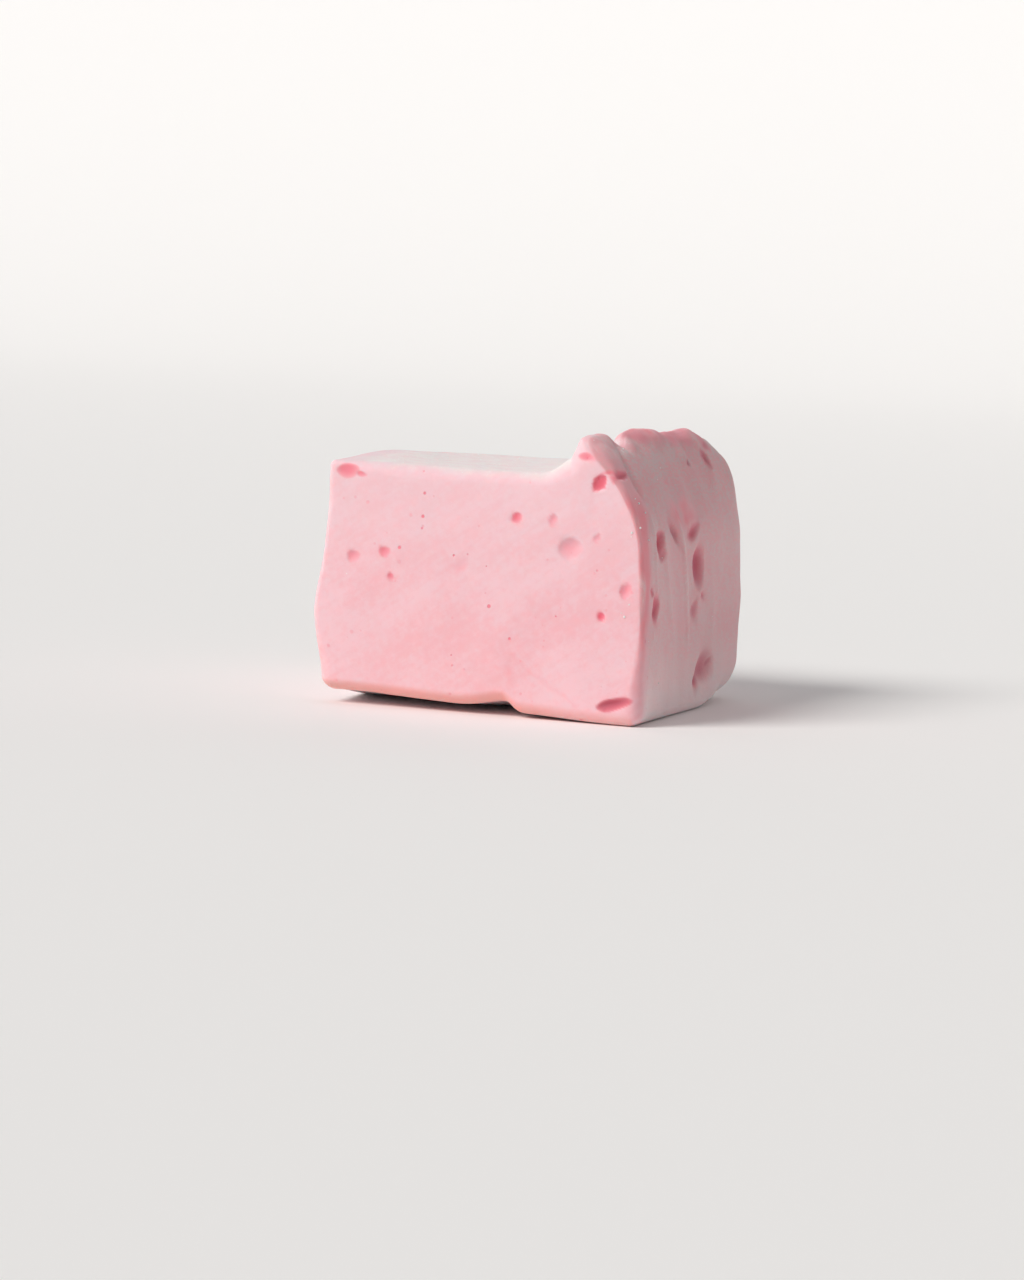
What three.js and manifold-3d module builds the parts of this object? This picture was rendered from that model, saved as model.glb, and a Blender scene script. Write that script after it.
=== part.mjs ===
// One hand-cut cube of pink marshmallow, in millimetres, +Z up.
//
// It stands on its flat base, with the origin at the middle of the base of its box. The front (-Y),
// back (+Y) and left (-X) faces are knife cuts. The right side (+X) is the skin that set against the
// tray: it leans inwards above a soft shoulder and ends in a wavy lip that stands over the flat top.
// The sweet is one piece, so it is one closed solid, and the larger air bubbles that the knife and
// the skin left open are cut out of it as hollows.

import * as THREE from 'three';
import { mergeVertices } from 'three/addons/utils/BufferGeometryUtils.js';
import Module from 'manifold-3d';

const wasm = await Module();
wasm.setup();

const { clamp, degToRad, lerp, smoothstep } = THREE.MathUtils;

// Driving dimensions.

const block = {
  width: 36.5, // between the left cut and the skin side
  depth: 36, // between the front and back cuts
  height: 26.2, // from the base to the flat part of the top
  backSet: 1, // how far the middle of the depth lies behind the modelling origin
};

// Radii of the rounded edges.
const edges = {
  cut: 0.6, // upright edges of the front cut
  roof: 1.5, // edges of the top, apart from the lip
  corner: 0.7, // the crisp top corner at the front left
  back: 2.2, // edges of the back cut
  base: 1.6, // round the base
  skinBase: 1.1, // foot of the skin side
  lip: 1.2, // crown of the lip
  lipNose: 2.5, // its front end
  far: 5.2, // upright edge between the skin side and the back
  farBase: 4.55, // its lower corner
  farTop: 3.4, // its upper corner
};

// Where one radius gives way to the next, on a cube that runs from -1 to 1.
const turns = {
  right: [0.1, 0.9],
  back: [0.15, 0.88],
  top: [0.4, 0.9],
  low: [-0.2, -0.9],
  cornerLeft: [-0.5, -0.95],
  cornerFront: [0.2, -0.6],
  skinFoot: [-1, 0.2],
  noseFront: [-0.55, -0.95],
  noseTop: [0.6, 1],
};

// How the faces depart from planes: by how much, then where that starts and is whole.
const swell = {
  front: 0.3,
  back: 0.7,
  skin: { front: 0.1, back: 0.95, depth: [-8, 15], at: 11, reach: 11.5 },
  taper: { by: 0.6, height: [10, 21], depth: [10, -14] }, // the front upright edge draws in
  left: { by: 0.95, at: 10.2, reach: 5, spread: 0.1 },
  draw: { by: 0.45, height: [4, 27] }, // the left cut draws in towards the top
};

const roof = {
  from: 0.75, // share of the block's height above which the top is moved
  dome: { by: 0.65, at: -3, reach: 9, width: [-6, -17] }, // highest near the left edge
  droop: { by: 0.3, depth: [11, 18] }, // falls off at the back
  sag: { by: 0.1, at: 2, reach: 9, depth: [2, -14] }, // dips behind the middle of the front edge
};

// The lip along the top of the skin side, measured before the side leans in.
const lip = {
  from: 0.55, // share of the block's height above which it is raised
  height: 4.5, // above the flat top
  ramp: { by: 1.7, width: [6.8, 13] }, // the top rises towards the foot of the lip
  wall: { foot: 12.4, crown: 18.9, power: 1.95 }, // inner wall, steepest at its foot
  inset: { first: 0.2, rest: 0.75, depth: [-9.5, -7.3] }, // sideways shift of the lobes
  fall: { by: 2.3, depth: [12, 19.4] }, // dies away at the far corner
};

// Rise or fall of the lip's crown along the depth: place, reach and amount.
const lobes = [
  { at: -14.5, reach: 3, rise: 0.05 },
  { at: -8.2, reach: 1.9, rise: -1.5 },
  { at: -0.8, reach: 3.2, rise: 0.45 },
  { at: 2.5, reach: 1.3, rise: -0.34 },
  { at: 10.6, reach: 3.2, rise: 0.5 },
  { at: 12.5, reach: 1.2, rise: -0.55 },
];

// The skin side leans in above its shoulder, and the lip with it.
const lean = {
  shoulder: 18.5,
  rise: 12, // height over which the lean builds up
  most: 1.2, // share of that height at which it stops
  front: { by: 6.2, power: 1.75 }, // how far the lip leans in at the front
  back: { by: 3.45, power: 1.6 }, // and at the back
  depth: [-7, 15],
  width: [2, 18],
};

// The front edge of the base is curled up off the table, most at the left, with a nick in it.
const curl = {
  left: { by: 1.45, width: [15, -16] },
  nick: { by: 1.1, at: 3, leftReach: 3.2, rightReach: 1 },
  rest: { by: 0.15, at: 8, reach: 5 },
  depth: [-5, -16.5],
  height: 6, // it fades out this far up the front
};

// Open bubbles. side says which face; at is a place on that face, first from left to right as seen
// from outside, with 0 over the modelling origin, then up from the base; size is the mouth's width
// and height; depth is under the mouth; turn is in degrees, anticlockwise as seen from outside.
const bubbles = [
  { side: 'front', at: [-15.5, 25.2], size: [2.6, 1.7], depth: 0.45, turn: -4 },
  { side: 'front', at: [-14.0, 24.9], size: [1.2, 0.6], depth: 0.3, turn: -8 },
  { side: 'front', at: [-14.5, 16.0], size: [1.8, 1.5], depth: 0.35, turn: 20 },
  { side: 'front', at: [-11.0, 16.8], size: [1.5, 1.4], depth: 0.4, turn: 0 },
  { side: 'front', at: [3.9, 21.3], size: [1.2, 1.2], depth: 0.4, turn: 30 },
  { side: 'front', at: [8.0, 21.2], size: [1.1, 1.5], depth: 0.3, turn: -30 },
  { side: 'front', at: [10.3, 18.1], size: [3.1, 2.9], depth: 0.4, turn: 0 },
  { side: 'front', at: [12.9, 19.7], size: [0.7, 1.4], depth: 0.25, turn: -35 },
  { side: 'front', at: [12.9, 25.45], size: [1.4, 2.3], depth: 0.5, turn: -34 },
  { side: 'front', at: [13.7, 11.5], size: [1.0, 1.0], depth: 0.4, turn: 0 },
  { side: 'front', at: [16.3, 14.2], size: [1.3, 1.9], depth: 0.35, turn: -18 },
  { side: 'front', at: [15.2, 2.4], size: [4.2, 1.3], depth: 0.7, turn: 14 },
  { side: 'front', at: [11.3, 28.1], size: [2.2, 0.9], depth: 0.3, turn: -10 },
  { side: 'skin', at: [-15.1, 26.3], size: [4.0, 1.0], depth: 0.45, turn: 4 },
  { side: 'skin', at: [-10.8, 19.0], size: [2.4, 2.6], depth: 0.7, turn: 6 },
  { side: 'skin', at: [-5.6, 19.8], size: [0.9, 2.5], depth: 0.4, turn: 35 },
  { side: 'skin', at: [-0.6, 19.7], size: [2.6, 1.4], depth: 0.4, turn: 24 },
  { side: 'skin', at: [1.0, 16.4], size: [3.3, 4.4], depth: 0.7, turn: -6 },
  { side: 'skin', at: [-12.8, 12.1], size: [2.2, 3.0], depth: 0.6, turn: -12 },
  { side: 'skin', at: [-0.2, 11.1], size: [1.8, 2.2], depth: 0.25, turn: 0 },
  { side: 'skin', at: [2.2, 12.7], size: [1.3, 1.0], depth: 0.3, turn: 20 },
  { side: 'skin', at: [3.7, 4.5], size: [5.6, 3.5], depth: 0.65, turn: 14 },
  { side: 'skin', at: [1.9, 3.4], size: [2.4, 1.9], depth: 0.85, turn: 30 },
  { side: 'skin', at: [9.2, 27.3], size: [1.3, 2.8], depth: 0.35, turn: 24 },
  { side: 'skin', at: [11.0, 28.7], size: [2.2, 1.4], depth: 0.25, turn: 10 },
  { side: 'left', at: [-6.0, 15.5], size: [1.6, 1.5], depth: 0.8, turn: 10 },
  { side: 'left', at: [7.5, 8.5], size: [2.2, 1.6], depth: 0.6, turn: -20 },
  { side: 'left', at: [10.5, 20.5], size: [1.1, 1.1], depth: 0.8, turn: 0 },
  { side: 'left', at: [-13.0, 21.5], size: [1.4, 1.0], depth: 0.4, turn: 30 },
  { side: 'left', at: [0.5, 22.8], size: [1.9, 1.3], depth: 0.3, turn: -15 },
  { side: 'left', at: [-3.0, 4.2], size: [3.0, 0.9], depth: 0.5, turn: -8 },
  { side: 'back', at: [-9.0, 17.5], size: [2.0, 1.8], depth: 0.8, turn: 15 },
  { side: 'back', at: [3.5, 9.0], size: [1.3, 1.3], depth: 0.8, turn: 0 },
  { side: 'back', at: [9.5, 19.0], size: [2.6, 1.6], depth: 0.7, turn: -25 },
  { side: 'back', at: [-2.5, 21.5], size: [1.2, 1.0], depth: 0.35, turn: 20 },
  { side: 'back', at: [1.0, 16.0], size: [3.4, 2.6], depth: 0.3, turn: -20 },
  { side: 'back', at: [11.5, 8.0], size: [1.6, 1.4], depth: 0.4, turn: 0 },
  { side: 'back', at: [-6.0, 5.0], size: [2.4, 0.8], depth: 0.4, turn: 12 },
];

// Outward direction of each face, and the directions that "right" and "up" have on it.
const sides = {
  front: { right: [1, 0, 0], up: [0, 0, 1], out: [0, -1, 0] },
  skin: { right: [0, 1, 0], up: [0, 0, 1], out: [1, 0, 0] },
  left: { right: [0, -1, 0], up: [0, 0, 1], out: [-1, 0, 0] },
  back: { right: [-1, 0, 0], up: [0, 0, 1], out: [0, 1, 0] },
};

// Cells of the surface grid along each direction, and how strongly they gather at the edges.
const grid = { x: 28, y: 28, z: 19, gather: 0.28 };
const smallBubble = 2.1; // a mouth narrower than this needs fewer facets
const bubbleLift = 0.35; // share of a bubble's depth that its middle stands proud of the face

// Smooth step that also runs downwards, when high is less than low.
function ease(low, high, value) {
  return high > low ? smoothstep(value, low, high) : 1 - smoothstep(value, high, low);
}

// Bell curve of height 1 round mid.
function bell(mid, reach, value) {
  return Math.exp(-(((value - mid) / reach) ** 2));
}

// The radius of the rounding at a place on the cube, blended from the named edges.
function edgeRadius(u, v, w) {
  const right = ease(...turns.right, u);
  const back = ease(...turns.back, v);
  const top = ease(...turns.top, w);
  const low = ease(...turns.low, w);
  const far = right * back;
  const crispCorner = ease(...turns.cornerLeft, u) * ease(...turns.cornerFront, v) * top;
  const foot = lerp(edges.base, edges.skinBase, right * ease(...turns.skinFoot, v));
  const front = lerp(edges.cut, edges.roof, top * (1 - right));
  let radius = lerp(front, edges.back, back);
  radius = lerp(radius, edges.far, far);
  radius = lerp(radius, foot, low * (1 - far));
  radius = lerp(radius, edges.farBase, far * low);
  const nose = ease(...turns.noseFront, v) * ease(...turns.noseTop, w);
  const lipEdge = lerp(edges.lip, edges.lipNose, nose);
  radius = lerp(radius, lerp(lipEdge, edges.farTop, back), top * right);
  return lerp(radius, edges.corner, crispCorner);
}

// A place on the cube from -1 to 1, pushed out onto the rounded box: the point is held inside the
// box by the radius, then moved one radius out again along the line it was held back by.
function onRoundedBox(cube) {
  const half = new THREE.Vector3(block.width, block.depth, block.height).multiplyScalar(0.5);
  const radius = edgeRadius(cube.x, cube.y, cube.z);
  const point = cube.clone().multiply(half);
  const room = half.clone().subScalar(radius);
  const inner = point.clone().clamp(room.clone().negate(), room);
  const reach = point.clone().sub(inner).setLength(radius);
  return inner.add(reach).add(new THREE.Vector3(0, block.backSet, half.z));
}

// Height of the lip over the flat top: a ramp up to its foot, then a wall up to a wavy crown.
function lipRise(x, y) {
  const { ramp, wall, inset, fall } = lip;
  const shifted = x - lerp(inset.first, inset.rest, ease(...inset.depth, y));
  const waves = lobes.reduce((sum, lobe) => sum + lobe.rise * bell(lobe.at, lobe.reach, y), 0);
  const crown = lip.height + waves - fall.by * ease(...fall.depth, y);
  const climb = clamp((shifted - wall.foot) / (wall.crown - wall.foot), 0, 1);
  return lerp(ramp.by * ease(...ramp.width, shifted), crown, 1 - (1 - climb) ** wall.power);
}

// Unevenness of the flat top: a dome at the left, less a droop at the back and a sag at the front.
function roofRise(x, y) {
  const { dome, droop, sag } = roof;
  const raised = dome.by * bell(dome.at, dome.reach, y) * ease(...dome.width, x);
  const sunk = sag.by * bell(sag.at, sag.reach, x) * ease(...sag.depth, y);
  return raised - droop.by * ease(...droop.depth, y) - sunk;
}

// How far the rim of the base is lifted under the front face: a slope plus a nick.
function rimLift(x, y) {
  const { left, nick, rest } = curl;
  const nickReach = x < nick.at ? nick.leftReach : nick.rightReach;
  const lift = left.by * ease(...left.width, x) + nick.by * bell(nick.at, nickReach, x);
  return (lift + rest.by * bell(rest.at, rest.reach, x)) * ease(...curl.depth, y);
}

// Sideways swell of the skin side and the left cut at a height.
function sideSwell(across, y, z) {
  const { skin, taper, left, draw } = swell;
  const belly = lerp(skin.front, skin.back, ease(...skin.depth, y)) * bell(skin.at, skin.reach, z);
  const drawnIn = taper.by * ease(...taper.height, z) * ease(...taper.depth, y);
  const flare = left.by * bell(left.at, left.reach, z) + left.spread;
  const leftSide = clamp(-across, 0, 1) * (draw.by * ease(...draw.height, z) - flare);
  return ease(0, 1, across) * (belly - drawnIn) + leftSide;
}

// The rounded box with its faces swollen, its top and lip raised, its skin side leaning in and its
// front rim curled.
function shapePoint(cube) {
  const start = onRoundedBox(cube);
  const across = start.x / (block.width / 2);
  const deep = (start.y - block.backSet) / (block.depth / 2);
  const level = start.z / (block.height / 2) - 1;
  const belly = (1 - across ** 2) * (1 - level ** 2) * Math.abs(deep);
  const point = start.clone();
  point.x += sideSwell(across, start.y, start.z);
  point.y += belly * lerp(-swell.front, swell.back, ease(-1, 1, deep));
  point.z += roofRise(start.x, start.y) * ease(roof.from * block.height, block.height, start.z);
  point.z += lipRise(start.x, start.y) * ease(lip.from * block.height, block.height, start.z);
  const { front, back } = lean;
  const behind = ease(...lean.depth, start.y);
  const climb = clamp((point.z - lean.shoulder) / lean.rise, 0, lean.most);
  const built = climb ** lerp(front.power, back.power, behind);
  point.x -= lerp(front.by, back.by, behind) * built * ease(...lean.width, start.x);
  point.z += rimLift(start.x, start.y) * ease(curl.height, 0, point.z);
  return point;
}

// A grid coordinate from -1 to 1, drawn towards the edges where the surface turns fastest.
function gathered(value) {
  return value + grid.gather * (value - value ** 3);
}

function cutCube() {
  const geometry = new THREE.BoxGeometry(2, 2, 2, grid.x, grid.y, grid.z);
  geometry.deleteAttribute('normal');
  geometry.deleteAttribute('uv');
  const position = geometry.attributes.position;
  for (let i = 0; i < position.count; i += 1) {
    const cube = new THREE.Vector3().fromBufferAttribute(position, i);
    const point = shapePoint(new THREE.Vector3(gathered(cube.x), gathered(cube.y), gathered(cube.z)));
    position.setXYZ(i, point.x, point.y, point.z);
  }
  return mergeVertices(geometry);
}

// Where a bubble opens: a ray from outside finds the face there.
function bubbleMouth(bubble, face) {
  const [right, up, out] = ['right', 'up', 'out'].map((key) => new THREE.Vector3(...sides[bubble.side][key]));
  const origin = right.clone().multiplyScalar(bubble.at[0]).addScaledVector(up, bubble.at[1]);
  origin.addScaledVector(out, block.width);
  const hit = new THREE.Raycaster(origin, out.clone().negate()).intersectObject(face)[0];
  const normal = hit.face.normal.clone();
  const across = right.clone().addScaledVector(normal, -right.dot(normal)).normalize();
  const along = new THREE.Vector3().crossVectors(normal, across);
  return new THREE.Matrix4().makeBasis(across, along, normal).setPosition(hit.point);
}

// An egg-shaped cutter whose mouth, where it meets the face, has the bubble's size.
function bubbleCutter(bubble, face) {
  const semiDepth = bubble.depth / (1 - bubbleLift);
  const mouthShare = Math.sqrt(1 - bubbleLift ** 2);
  const detail = Math.max(...bubble.size) < smallBubble ? 1 : 2;
  const geometry = new THREE.IcosahedronGeometry(1, detail);
  geometry.scale(bubble.size[0] / 2 / mouthShare, bubble.size[1] / 2 / mouthShare, semiDepth);
  geometry.translate(0, 0, bubbleLift * semiDepth);
  geometry.rotateZ(degToRad(bubble.turn));
  geometry.applyMatrix4(bubbleMouth(bubble, face));
  return geometry;
}

function toSolid(geometry) {
  const bare = geometry.clone();
  bare.deleteAttribute('normal');
  bare.deleteAttribute('uv');
  const merged = mergeVertices(bare);
  const vertProperties = Float32Array.from(merged.attributes.position.array);
  const triVerts = Uint32Array.from(merged.index.array);
  return new wasm.Manifold(new wasm.Mesh({ numProp: 3, vertProperties, triVerts }));
}

function toGeometry(solid) {
  const cut = solid.getMesh();
  const geometry = new THREE.BufferGeometry();
  geometry.setAttribute('position', new THREE.BufferAttribute(cut.vertProperties, 3));
  geometry.setIndex(new THREE.BufferAttribute(cut.triVerts, 1));
  return geometry;
}

// Stands the solid on its base with the middle of its box over the origin.
function standOnOrigin(geometry) {
  geometry.computeBoundingBox();
  const centre = geometry.boundingBox.getCenter(new THREE.Vector3());
  geometry.translate(-centre.x, -centre.y, -geometry.boundingBox.min.z);
  return geometry;
}

function marshmallowMesh() {
  const cube = cutCube();
  const face = new THREE.Mesh(cube);
  let solid = toSolid(cube);
  for (const bubble of bubbles) {
    solid = solid.subtract(toSolid(bubbleCutter(bubble, face)));
  }
  const geometry = standOnOrigin(toGeometry(solid));
  geometry.computeVertexNormals();
  const material = new THREE.MeshStandardMaterial({ color: 0xf6c3c8, roughness: 0.85, metalness: 0 });
  const mesh = new THREE.Mesh(geometry, material);
  mesh.name = 'marshmallow';
  return mesh;
}

const marshmallow = new THREE.Group();
marshmallow.add(marshmallowMesh());

export default marshmallow;
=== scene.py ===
import math

import bpy
import numpy as np
from mathutils import Matrix, Vector


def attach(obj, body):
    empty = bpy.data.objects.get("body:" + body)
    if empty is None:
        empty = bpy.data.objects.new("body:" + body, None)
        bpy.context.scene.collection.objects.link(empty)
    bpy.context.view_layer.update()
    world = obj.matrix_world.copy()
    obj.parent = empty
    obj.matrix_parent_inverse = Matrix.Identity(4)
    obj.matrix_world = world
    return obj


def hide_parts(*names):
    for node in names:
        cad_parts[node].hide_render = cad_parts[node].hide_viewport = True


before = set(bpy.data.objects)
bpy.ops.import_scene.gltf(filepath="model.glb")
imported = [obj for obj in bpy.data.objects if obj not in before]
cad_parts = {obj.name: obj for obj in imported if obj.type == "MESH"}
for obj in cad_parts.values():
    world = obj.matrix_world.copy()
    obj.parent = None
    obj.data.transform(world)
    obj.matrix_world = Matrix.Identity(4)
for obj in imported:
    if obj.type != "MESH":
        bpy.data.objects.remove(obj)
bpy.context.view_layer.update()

# A hand-cut cube of pink marshmallow. The front, back and left faces are knife cuts, the right side
# is the powdered skin that set against the tray, and it ends in a wavy lip above the flat top.
# Shapes are worked out in millimetres and go into the meshes in metres.

mm = 0.001


# smooth step between low and high, falling when low is above high
def ease(low, high, value):
    t = np.clip((value - low) / (high - low), 0.0, 1.0)
    return t * t * (3.0 - 2.0 * t)


# bell curve of height 1 round mid
def bell(mid, reach, value):
    return np.exp(-((value - mid) / reach) ** 2)


def mix(a, b, share):
    return a + (b - a) * share


# smooth unevenness of about -1 to 1: a sum of plane waves in seeded directions,
# sin(2 pi d.p / wavelength + phase), each wavelength within a third of the asked one
def ripple(points, wavelength, seed, waves=14):
    rng = np.random.default_rng(seed)
    direction = rng.normal(size=(waves, 3))
    direction /= np.linalg.norm(direction, axis=1, keepdims=True)
    length = wavelength * rng.uniform(0.75, 1.33, waves)
    phase = rng.uniform(0.0, 2.0 * math.pi, waves)
    angle = points @ (direction / length[:, None]).T * 2.0 * math.pi + phase
    return np.sin(angle).sum(axis=1) / math.sqrt(2.0 * waves)


def unit(vectors):
    return vectors / np.maximum(np.linalg.norm(vectors, axis=-1, keepdims=True), 1e-9)


# normals of a quad mesh: each quad's area vector (the cross product of its diagonals) added to
# its corners
def pointNormals(points, quads):
    corner = points[quads]
    area = np.cross(corner[:, 2] - corner[:, 0], corner[:, 3] - corner[:, 1])
    total = [np.bincount(quads.ravel(), np.repeat(area[:, k], 4), len(points)) for k in range(3)]
    return unit(np.stack(total, axis=1))


def meshPiece(name, points, quads, attributes=None):
    mesh = bpy.data.meshes.new(name)
    mesh.vertices.add(len(points))
    mesh.vertices.foreach_set("co", (points * mm).astype(np.float32).ravel())
    corners = quads.shape[1]
    mesh.loops.add(quads.size)
    mesh.loops.foreach_set("vertex_index", quads.ravel().astype(np.int32))
    mesh.polygons.add(len(quads))
    mesh.polygons.foreach_set("loop_start", np.arange(0, quads.size, corners, dtype=np.int32))
    for key, values in (attributes or {}).items():
        layer = mesh.attributes.new(key, "FLOAT", "POINT")
        layer.data.foreach_set("value", values.astype(np.float32))
    mesh.update(calc_edges=True)
    mesh.validate()
    mesh.shade_smooth()
    piece = bpy.data.objects.new(name, mesh)
    bpy.context.scene.collection.objects.link(piece)
    return piece


block = {
    "width": 36.5,            # between the left cut and the skin side
    "depth": 36.0,            # between the front and back cuts
    "height": 26.2,           # from the base to the flat part of the top
    "backSet": 1.0,           # how far the middle of the depth lies behind the modelling origin
    "cells": (138, 130, 110),
    "gather": 0.28,           # how strongly the grid gathers at the edges
}
halfBlock = np.array([block["width"], block["depth"], block["height"]]) / 2.0

edges = {                     # radii of the rounded edges
    "cut": 0.6, "roof": 1.5, "corner": 0.7, "back": 2.2, "base": 1.6, "skinBase": 1.1,
    "lip": 1.2, "lipNose": 2.5, "far": 5.2, "farBase": 4.55, "farTop": 3.4,
}

turns = {                     # where one radius gives way to the next, on a cube of -1 to 1
    "right": (0.1, 0.9), "back": (0.15, 0.88), "top": (0.4, 0.9), "low": (-0.2, -0.9),
    "cornerLeft": (-0.5, -0.95), "cornerFront": (0.2, -0.6), "skinFoot": (-1.0, 0.2),
    "noseFront": (-0.55, -0.95), "noseTop": (0.6, 1.0),
}

# In the dictionaries of this part a pair whose name ends in At is the middle and reach of a bell.
# One that ends in Width, Depth or Height is the range along x, y or z over which the thing sets in,
# and one that ends in Turn is that range for the normal's share along an axis.

swell = {                     # how far the faces stand out from planes
    "front": 0.3, "back": 0.7,
    "skinFront": 0.1, "skinBack": 0.95, "skinDepth": (-8.0, 15.0), "skinAt": (11.0, 11.5),
    "taper": 0.6, "taperHeight": (10.0, 21.0), "taperDepth": (10.0, -14.0),
    "left": 0.95, "leftAt": (10.2, 5.0), "leftSpread": 0.1,
    "draw": 0.45, "drawHeight": (4.0, 27.0),            # the left cut draws in towards the top
}

roof = {
    "from": 0.75,             # share of the height above which the top is moved
    "dome": 0.65, "domeAt": (-3.0, 9.0), "domeWidth": (-6.0, -17.0),
    "droop": 0.3, "droopDepth": (11.0, 18.0),
    "sag": 0.1, "sagAt": (2.0, 9.0), "sagDepth": (2.0, -14.0),
}

lip = {
    "from": 0.55,             # share of the height above which it is raised
    "height": 4.5,            # above the flat top
    "ramp": 1.7, "rampWidth": (6.8, 13.0),
    "foot": 11.9, "crown": 18.9, "power": 1.95,         # its inner wall
    "inset": 0.2, "backInset": 0.75, "insetDepth": (-9.5, -7.3),
    "fall": 2.3, "fallDepth": (12.0, 19.4),
    "footSoft": 0.12, "footWaver": 0.5, "footWaverLength": 4.0, "footWaverDepth": (-16.0, -9.0),
    "lobes": ((-14.5, 3.0, 0.05), (-8.2, 1.9, -1.5), (-0.8, 3.2, 0.45), (2.5, 1.3, -0.34),
              (10.6, 3.2, 0.5), (12.5, 1.2, -0.55)),    # place, reach and rise
}

lean = {                      # the skin side leans in above its shoulder, and the lip with it
    "shoulder": 18.5, "rise": 12.0, "most": 1.2,
    "front": 6.2, "back": 3.45, "frontPower": 1.75, "backPower": 1.6,
    "depth": (-7.0, 15.0), "width": (2.0, 18.0),
}

curl = {                      # the front edge of the base is lifted, with a nick in it
    "left": 1.45, "leftWidth": (15.0, -16.0),
    "nick": 1.1, "nickAt": 3.0, "nickLeft": 3.2, "nickRight": 1.0,
    "rest": 0.15, "restAt": (8.0, 5.0),
    "depth": (-5.0, -16.5), "height": 6.0,
}


# points of a box lattice that lie on its outside, as -1 to 1 along each direction, and the quads
# between them, facing outwards
def latticeShell(cells):
    count = np.array(cells)
    place = np.stack(np.meshgrid(*(np.arange(n + 1) for n in cells), indexing="ij"), axis=-1)
    onShell = ((place == 0) | (place == count)).any(axis=-1)
    number = np.full(onShell.shape, -1)
    number[onShell] = np.arange(onShell.sum())
    quads = []
    for axis in range(3):
        b, c = (axis + 1) % 3, (axis + 2) % 3
        for end in (0, -1):
            sheet = np.moveaxis(number, (axis, b, c), (0, 1, 2))[end]
            ring = np.stack([sheet[:-1, :-1], sheet[1:, :-1], sheet[1:, 1:], sheet[:-1, 1:]], axis=-1)
            ring = ring.reshape(-1, 4)
            quads.append(ring if end else ring[:, ::-1])
    return 2.0 * place[onShell] / count - 1.0, np.concatenate(quads)


# radius of the rounding at a place on the unit cube, blended from the named edges
def edgeRadius(u, v, w):
    right, back = ease(*turns["right"], u), ease(*turns["back"], v)
    top, low = ease(*turns["top"], w), ease(*turns["low"], w)
    far = right * back
    crispCorner = ease(*turns["cornerLeft"], u) * ease(*turns["cornerFront"], v) * top
    foot = mix(edges["base"], edges["skinBase"], right * ease(*turns["skinFoot"], v))
    radius = mix(mix(edges["cut"], edges["roof"], top * (1.0 - right)), edges["back"], back)
    radius = mix(radius, edges["far"], far)
    radius = mix(radius, foot, low * (1.0 - far))
    radius = mix(radius, edges["farBase"], far * low)
    nose = ease(*turns["noseFront"], v) * ease(*turns["noseTop"], w)
    crest = mix(edges["lip"], edges["lipNose"], nose)
    radius = mix(radius, mix(crest, edges["farTop"], back), top * right)
    return mix(radius, edges["corner"], crispCorner)


# the unit cube pushed out onto the rounded box: inner = clamp(p, half - r), then
# inner + r (p - inner) / |p - inner|
def onRoundedBox(place):
    radius = edgeRadius(*place.T)[:, None]
    flat = place * halfBlock
    inner = np.clip(flat, radius - halfBlock, halfBlock - radius)
    return inner + radius * unit(flat - inner) + [0.0, block["backSet"], halfBlock[2]]


# height of the lip over the flat top: a ramp up to its foot, then a wall up to a wavy crown; the
# climb c starts softly, sqrt(c^2 + s^2) - s, from a foot that wanders behind the front
def lipRise(x, y):
    shifted = x - mix(lip["inset"], lip["backInset"], ease(*lip["insetDepth"], y))
    ramp = lip["ramp"] * ease(*lip["rampWidth"], shifted)
    waves = sum(rise * bell(at, reach, y) for at, reach, rise in lip["lobes"])
    crown = lip["height"] + waves - lip["fall"] * ease(*lip["fallDepth"], y)
    along = np.stack([0.0 * y, y, 0.0 * y], axis=-1)
    wander = ripple(along, lip["footWaverLength"], seed=9) * ease(*lip["footWaverDepth"], y)
    foot = lip["foot"] + lip["footWaver"] * wander
    climb = np.clip((shifted - foot) / (lip["crown"] - foot), 0.0, 1.0)
    soft = lip["footSoft"]
    climb = (np.sqrt(climb ** 2 + soft ** 2) - soft) / (math.sqrt(1.0 + soft ** 2) - soft)
    return mix(ramp, crown, 1.0 - (1.0 - climb) ** lip["power"])


# unevenness of the flat top: a dome at the left, less a droop at the back and a sag at the front
def roofRise(x, y):
    dome = roof["dome"] * bell(*roof["domeAt"], y) * ease(*roof["domeWidth"], x)
    droop = roof["droop"] * ease(*roof["droopDepth"], y)
    sag = roof["sag"] * bell(*roof["sagAt"], x) * ease(*roof["sagDepth"], y)
    return dome - droop - sag


# how far the rim of the base is lifted under the front face: a slope plus a nick
def rimLift(x, y):
    nickReach = np.where(x < curl["nickAt"], curl["nickLeft"], curl["nickRight"])
    slope = curl["left"] * ease(*curl["leftWidth"], x)
    lift = slope + curl["nick"] * bell(curl["nickAt"], nickReach, x)
    return (lift + curl["rest"] * bell(*curl["restAt"], x)) * ease(*curl["depth"], y)


# sideways swell of the skin side and the left cut at a height
def sideSwell(across, y, z):
    belly = mix(swell["skinFront"], swell["skinBack"], ease(*swell["skinDepth"], y))
    belly = belly * bell(*swell["skinAt"], z)
    taper = swell["taper"] * ease(*swell["taperHeight"], z) * ease(*swell["taperDepth"], y)
    flare = swell["left"] * bell(*swell["leftAt"], z) + swell["leftSpread"]
    leftSide = np.clip(-across, 0.0, 1.0) * (swell["draw"] * ease(*swell["drawHeight"], z) - flare)
    return ease(0.0, 1.0, across) * (belly - taper) + leftSide


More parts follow.
